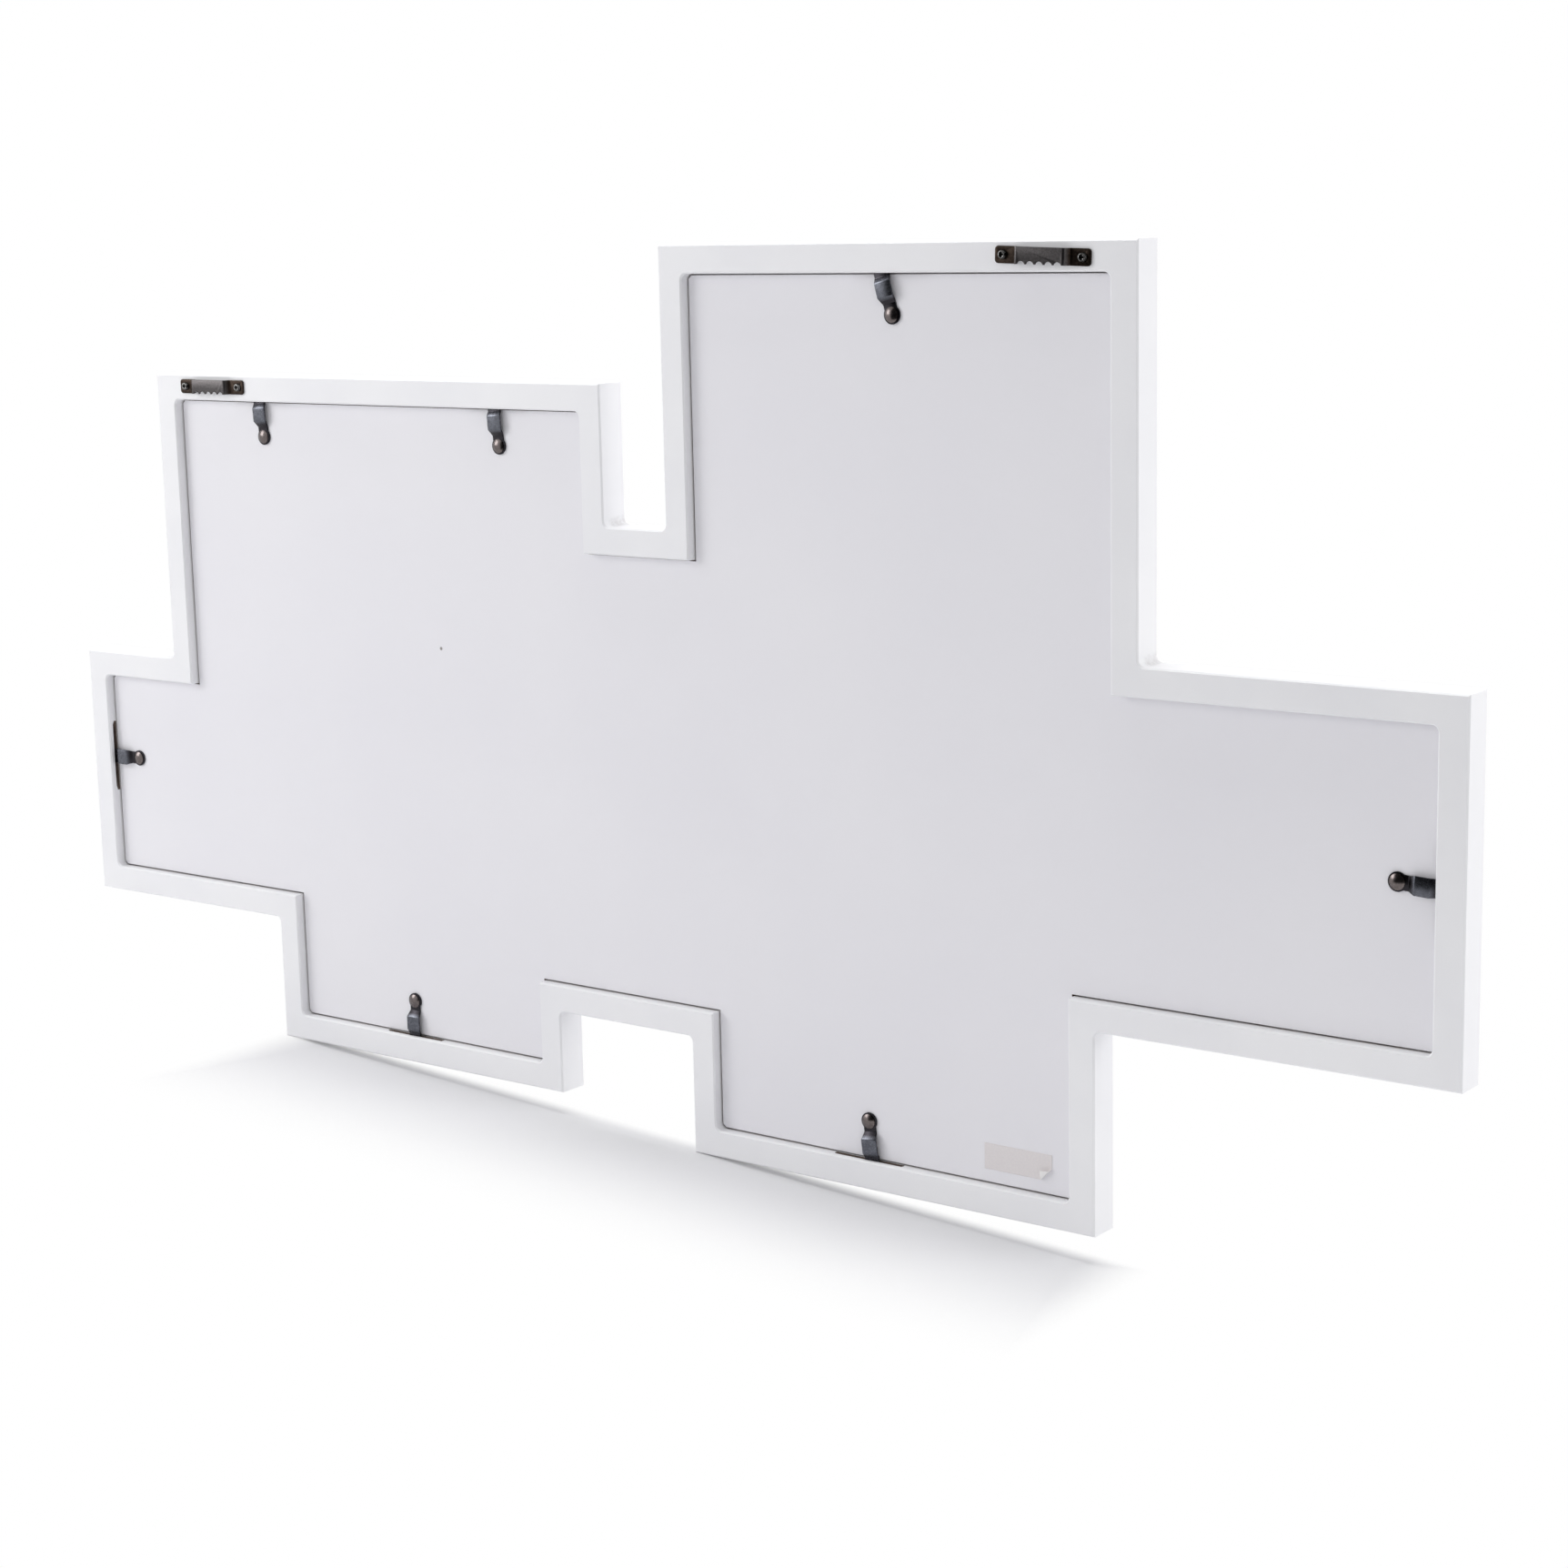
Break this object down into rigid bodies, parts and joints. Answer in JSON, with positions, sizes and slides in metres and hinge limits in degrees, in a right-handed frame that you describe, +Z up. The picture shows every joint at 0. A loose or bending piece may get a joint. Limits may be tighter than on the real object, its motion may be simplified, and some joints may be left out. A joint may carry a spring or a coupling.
{
  "type": "collage photo frame",
  "caption": "Wall-hung collage photo frame with a stepped outline, separate glazed windows, a one-piece backing board, turn clips and sawtooth hangers.",
  "frame": {"origin": "middle of the overall width and depth, at the level of the lowest edge of the stepped outline", "axes": "+X to the right as seen from the front, +Y from the front to the back (towards the wall), +Z up"},
  "size_m": [0.78, 0.0198, 0.4137],
  "materials": {
    "lacquered_mdf": "satin white lacquer on MDF",
    "white_faced_board": "matt off-white faced hardboard",
    "label_paper": "plain uncoated paper",
    "float_glass": "clear float glass",
    "photo_paper": "satin photo paper, plain insert",
    "grey_card": "grey board",
    "black_nickel_steel": "black-nickel plated spring steel, semi-gloss",
    "rivet_steel": "black-nickel plated, polished dome",
    "bronzed_steel": "dark bronzed steel sheet",
    "screw_steel": "black-nickel plated screw"
  },
  "bodies": {
    "frame_body": {"frame": "lacquered_mdf", "backing_board": "white_faced_board", "label": "label_paper", "pane_left_arm": "float_glass", "print_left_arm": "photo_paper", "card_left_arm": "grey_card", "pane_lower_left": "float_glass", "print_lower_left": "photo_paper", "card_lower_left": "grey_card", "pane_upper_left_outer": "float_glass", "print_upper_left_outer": "photo_paper", "card_upper_left_outer": "grey_card", "pane_upper_left_inner": "float_glass", "print_upper_left_inner": "photo_paper", "card_upper_left_inner": "grey_card", "pane_centre": "float_glass", "print_centre": "photo_paper", "card_centre": "grey_card", "pane_upper_right_inner": "float_glass", "print_upper_right_inner": "photo_paper", "card_upper_right_inner": "grey_card", "pane_upper_right_outer": "float_glass", "print_upper_right_outer": "photo_paper", "card_upper_right_outer": "grey_card", "pane_lower_right": "float_glass", "print_lower_right": "photo_paper", "card_lower_right": "grey_card", "pane_right_arm": "float_glass", "print_right_arm": "photo_paper", "card_right_arm": "grey_card", "clip_rivets": "rivet_steel", "sawtooth_hanger_right": "bronzed_steel", "sawtooth_hanger_left": "bronzed_steel", "hanger_screws": "screw_steel"},
    "clip_upper_right_outer": {"turn_clip_upper_right_outer": "black_nickel_steel"},
    "clip_upper_right_inner": {"turn_clip_upper_right_inner": "black_nickel_steel"},
    "clip_upper_left": {"turn_clip_upper_left": "black_nickel_steel"},
    "clip_right_arm": {"turn_clip_right_arm": "black_nickel_steel"},
    "clip_left_arm": {"turn_clip_left_arm": "black_nickel_steel"},
    "clip_lower_right": {"turn_clip_lower_right": "black_nickel_steel"},
    "clip_lower_left": {"turn_clip_lower_left": "black_nickel_steel"}
  },
  "joints": [
    {"name": "turn_upper_right_outer", "type": "hinge", "parent": "frame_body", "child": "clip_upper_right_outer", "pos_m": [0.25248, 0.00135, 0.3224], "axis": [0, 1, 0], "continuous": true},
    {"name": "turn_upper_right_inner", "type": "hinge", "parent": "frame_body", "child": "clip_upper_right_inner", "pos_m": [0.09626, 0.00135, 0.3224], "axis": [0, 1, 0], "continuous": true},
    {"name": "turn_upper_left", "type": "hinge", "parent": "frame_body", "child": "clip_upper_left", "pos_m": [-0.1271, 0.00135, 0.3836], "axis": [0, 1, 0], "continuous": true},
    {"name": "turn_right_arm", "type": "hinge", "parent": "frame_body", "child": "clip_right_arm", "pos_m": [0.3599, 0.00135, 0.15044], "axis": [0, 1, 0], "continuous": true},
    {"name": "turn_left_arm", "type": "hinge", "parent": "frame_body", "child": "clip_left_arm", "pos_m": [-0.3599, 0.00135, 0.16865], "axis": [0, 1, 0], "continuous": true},
    {"name": "turn_lower_right", "type": "hinge", "parent": "frame_body", "child": "clip_lower_right", "pos_m": [0.16667, 0.00135, 0.0457], "axis": [0, 1, 0], "continuous": true},
    {"name": "turn_lower_left", "type": "hinge", "parent": "frame_body", "child": "clip_lower_left", "pos_m": [-0.10847, 0.00135, 0.0301], "axis": [0, 1, 0], "continuous": true}
  ]
}
